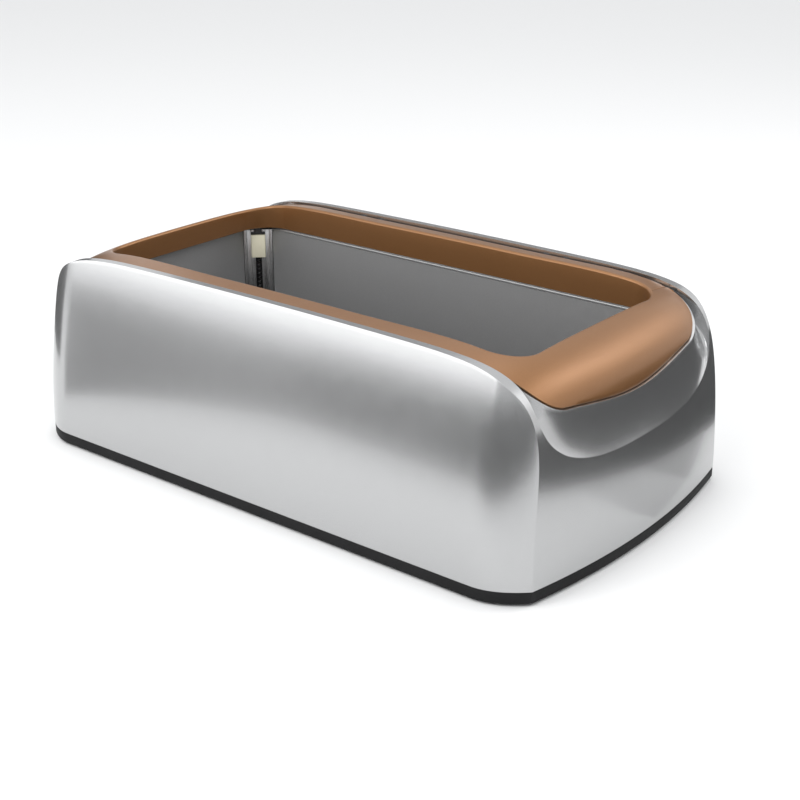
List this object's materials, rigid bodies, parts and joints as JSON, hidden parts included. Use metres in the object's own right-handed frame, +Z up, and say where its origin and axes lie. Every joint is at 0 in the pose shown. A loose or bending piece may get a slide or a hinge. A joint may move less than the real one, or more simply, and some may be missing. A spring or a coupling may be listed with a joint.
{
  "type": "automatic shoe cover dispenser",
  "caption": "Mechanical step-in shoe cover dispenser: silver shell, bronze hinged top frame, black base, open foot well with corner buckle rails and sprung pushers",
  "frame": {"origin": "centre of the footprint, on the plane the rubber feet stand on", "axes": "+X from the rear end to the front end, +Y towards the lid's hinge side, +Z up"},
  "size_m": [0.43, 0.245, 0.1358],
  "materials": {
    "silver_shell": "silver metallic lacquer",
    "bronze_lid": "bronze metallic lacquer",
    "black_base": "fine textured",
    "satin_liner": "satin",
    "rail_aluminium": "satin",
    "black_fittings": "moulded",
    "cream_nylon": "moulded",
    "spring_steel": "drawn wire",
    "plated_steel": "zinc plated",
    "foot_rubber": "matt"
  },
  "bodies": {
    "body": {"outer_shell": "silver_shell", "base_tray": "black_base", "liner_panel_far": "satin_liner", "liner_panel_near": "satin_liner", "liner_panel_rear": "satin_liner", "liner_panel_front": "satin_liner", "corner_rail_rear_far": "rail_aluminium", "rail_foot_rear_far": "black_fittings", "pusher_spring_rear_far": "spring_steel", "rail_top_catch_rear_far": "black_fittings", "rail_screw_rear_far": "plated_steel", "rubber_foot_rear_far": "foot_rubber", "corner_rail_front_far": "rail_aluminium", "rail_foot_front_far": "black_fittings", "pusher_spring_front_far": "spring_steel", "rail_top_catch_front_far": "black_fittings", "rail_screw_front_far": "plated_steel", "rubber_foot_front_far": "foot_rubber", "corner_rail_front_near": "rail_aluminium", "rail_foot_front_near": "black_fittings", "pusher_spring_front_near": "spring_steel", "rail_top_catch_front_near": "black_fittings", "rail_screw_front_near": "plated_steel", "rubber_foot_front_near": "foot_rubber", "corner_rail_rear_near": "rail_aluminium", "rail_foot_rear_near": "black_fittings", "pusher_spring_rear_near": "spring_steel", "rail_top_catch_rear_near": "black_fittings", "rail_screw_rear_near": "plated_steel", "rubber_foot_rear_near": "foot_rubber", "base_screw_rear_far": "plated_steel", "base_screw_rear_near": "plated_steel", "base_screw_middle_far": "plated_steel", "base_screw_middle_near": "plated_steel", "base_screw_front_far": "plated_steel", "base_screw_front_near": "plated_steel", "lid_hinge_pin_rear": "plated_steel", "lid_magnet_rear": "plated_steel", "lid_hinge_pin_front": "plated_steel", "lid_magnet_front": "plated_steel"},
    "lid": {"lid_frame": "bronze_lid", "lid_side_strip": "bronze_lid", "strike_plate_rear": "plated_steel", "strike_plate_front": "plated_steel"},
    "pusher_rear_far": {"pusher_rear_far": "cream_nylon"},
    "pusher_front_far": {"pusher_front_far": "cream_nylon"},
    "pusher_front_near": {"pusher_front_near": "cream_nylon"},
    "pusher_rear_near": {"pusher_rear_near": "cream_nylon"}
  },
  "joints": [
    {"name": "lid_hinge", "type": "hinge", "parent": "body", "child": "lid", "pos_m": [0, 0.0923, 0.1312], "axis": [-1, 0, 0], "range_deg": [0, 98]},
    {"name": "pusher_slide_rear_far", "type": "slide", "parent": "body", "child": "pusher_rear_far", "axis": [0, 0, -1], "range_m": [0, 0.06], "stiffness_N_per_m": 40, "springref_m": -0.01, "deforming": ["pusher_spring_rear_far"]},
    {"name": "pusher_slide_front_far", "type": "slide", "parent": "body", "child": "pusher_front_far", "axis": [0, 0, -1], "range_m": [0, 0.06], "stiffness_N_per_m": 40, "springref_m": -0.01, "deforming": ["pusher_spring_front_far"]},
    {"name": "pusher_slide_front_near", "type": "slide", "parent": "body", "child": "pusher_front_near", "axis": [0, 0, -1], "range_m": [0, 0.06], "stiffness_N_per_m": 40, "springref_m": -0.01, "deforming": ["pusher_spring_front_near"]},
    {"name": "pusher_slide_rear_near", "type": "slide", "parent": "body", "child": "pusher_rear_near", "axis": [0, 0, -1], "range_m": [0, 0.06], "stiffness_N_per_m": 40, "springref_m": -0.01, "deforming": ["pusher_spring_rear_near"]}
  ]
}
